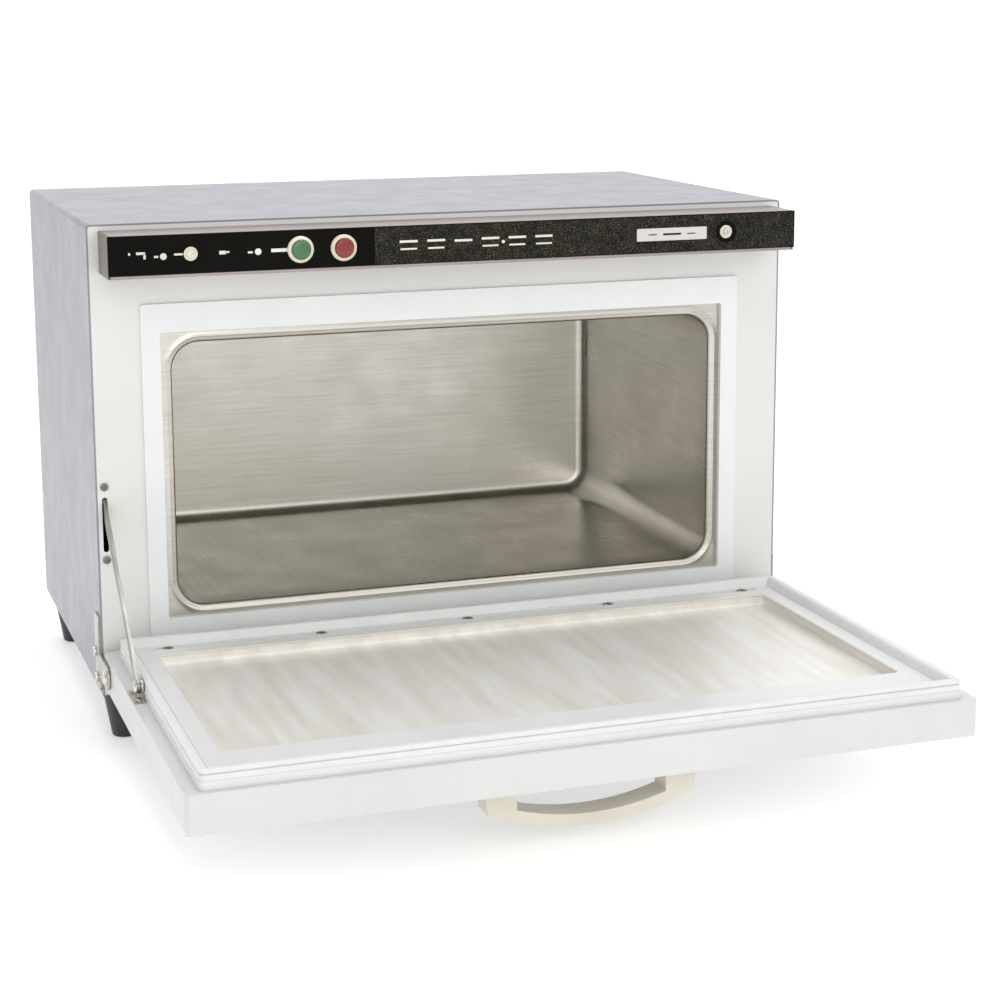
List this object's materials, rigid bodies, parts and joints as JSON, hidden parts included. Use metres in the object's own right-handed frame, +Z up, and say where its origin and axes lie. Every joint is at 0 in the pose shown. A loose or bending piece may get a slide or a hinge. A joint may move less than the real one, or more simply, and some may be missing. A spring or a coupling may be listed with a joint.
{
  "type": "hot towel cabinet",
  "caption": "Countertop heated cabinet for rolled towels, with a drop-down insulated door on a stay, a steel tank and a front control bar.",
  "frame": {"origin": "centre of the case footprint, on the plane that the four feet stand on", "axes": "+X to the right as seen from the front, +Y to the back, +Z up; the door is open at rest and reaches towards -Y"},
  "size_m": [0.4866, 0.567, 0.342],
  "materials": {
    "case_paint": "satin",
    "back_steel": "matte",
    "front_white": "satin",
    "frame_plastic": "satin",
    "tank_steel": "brushed",
    "wool": "matte",
    "spreader_aluminium": "matte",
    "heater_steel": "matte",
    "zinc_steel": "satin",
    "ceramic_white": "matte",
    "fuse_brass": "satin",
    "cable_black": "matte",
    "black_plastic": "matte",
    "bar_aluminium": "satin",
    "cap_olive": "satin",
    "fascia_black": "gloss",
    "label_brown": "textured",
    "plate_white": "satin",
    "bezel_cream": "satin",
    "button_green": "gloss",
    "button_red": "gloss",
    "screw_chrome": "polished",
    "screw_dark": "satin",
    "hinge_steel": "satin",
    "foot_rubber": "matte",
    "door_white": "satin",
    "liner_plastic": "satin",
    "gasket_white": "satin",
    "magnet_rubber": "matte",
    "pan_steel": "polished",
    "handle_ivory": "satin",
    "bush_nylon": "satin",
    "stay_steel": "satin"
  },
  "bodies": {
    "cabinet": {"outer_case": "case_paint", "back_panel": "back_steel", "base_plate": "back_steel", "front_frame": "front_white", "seal_frame": "frame_plastic", "inner_tank": "tank_steel", "insulation": "wool", "heater_plate": "spreader_aluminium", "heater_element": "heater_steel", "heater_brackets": "zinc_steel", "thermostat": "ceramic_white", "thermal_fuse": "fuse_brass", "terminal_block": "ceramic_white", "wiring_loom": "cable_black", "cord_gland": "black_plastic", "control_bar": "bar_aluminium", "bar_end_caps": "cap_olive", "fascia_strip": "fascia_black", "control_label": "label_brown", "name_plate": "plate_white", "button_bezels": "bezel_cream", "switch_bodies": "black_plastic", "bar_screws": "screw_chrome", "bar_screw_washers": "bezel_cream", "hinge_plate_left": "hinge_steel", "hinge_plate_right": "hinge_steel", "hinge_pins": "screw_chrome", "hinge_plate_screws": "screw_chrome", "stay_guide": "zinc_steel", "stay_guide_screws": "screw_dark", "feet": "foot_rubber", "foot_screws": "zinc_steel", "back_panel_screws": "screw_chrome", "tank_screws": "zinc_steel"},
    "door": {"door_skin": "door_white", "door_liner": "liner_plastic", "door_gasket": "gasket_white", "gasket_magnet": "magnet_rubber", "door_pan": "pan_steel", "door_insulation": "wool", "door_handle": "handle_ivory", "handle_screws": "zinc_steel", "hinge_bushes": "bush_nylon", "hinge_blocks": "black_plastic", "liner_screws": "screw_dark", "stay_bracket": "hinge_steel", "stay_bracket_screws": "screw_chrome", "stay_pivot_rivet": "screw_chrome"},
    "stay": {"stay_arm": "stay_steel", "stay_stop_pin": "zinc_steel"},
    "green_button": {"green_button": "button_green"},
    "red_button": {"red_button": "button_red"}
  },
  "joints": [
    {"name": "door_hinge", "type": "hinge", "parent": "cabinet", "child": "door", "pos_m": [0, -0.16475, 0.05525], "axis": [-1, 0, 0], "range_deg": [0, 90]},
    {"name": "stay_fold", "type": "hinge", "parent": "door", "child": "stay", "pos_m": [-0.2344, -0.246, 0.0735], "axis": [-1, 0, 0], "range_deg": [-54, 0]},
    {"name": "green_press", "type": "slide", "parent": "cabinet", "child": "green_button", "axis": [0, 1, 0], "range_m": [0, 0.003], "stiffness_N_per_m": 400},
    {"name": "red_press", "type": "slide", "parent": "cabinet", "child": "red_button", "axis": [0, 1, 0], "range_m": [0, 0.003], "stiffness_N_per_m": 400}
  ],
  "couplings": [
    {"joint": "stay_fold", "follows": "door_hinge", "ratio": -0.6}
  ]
}
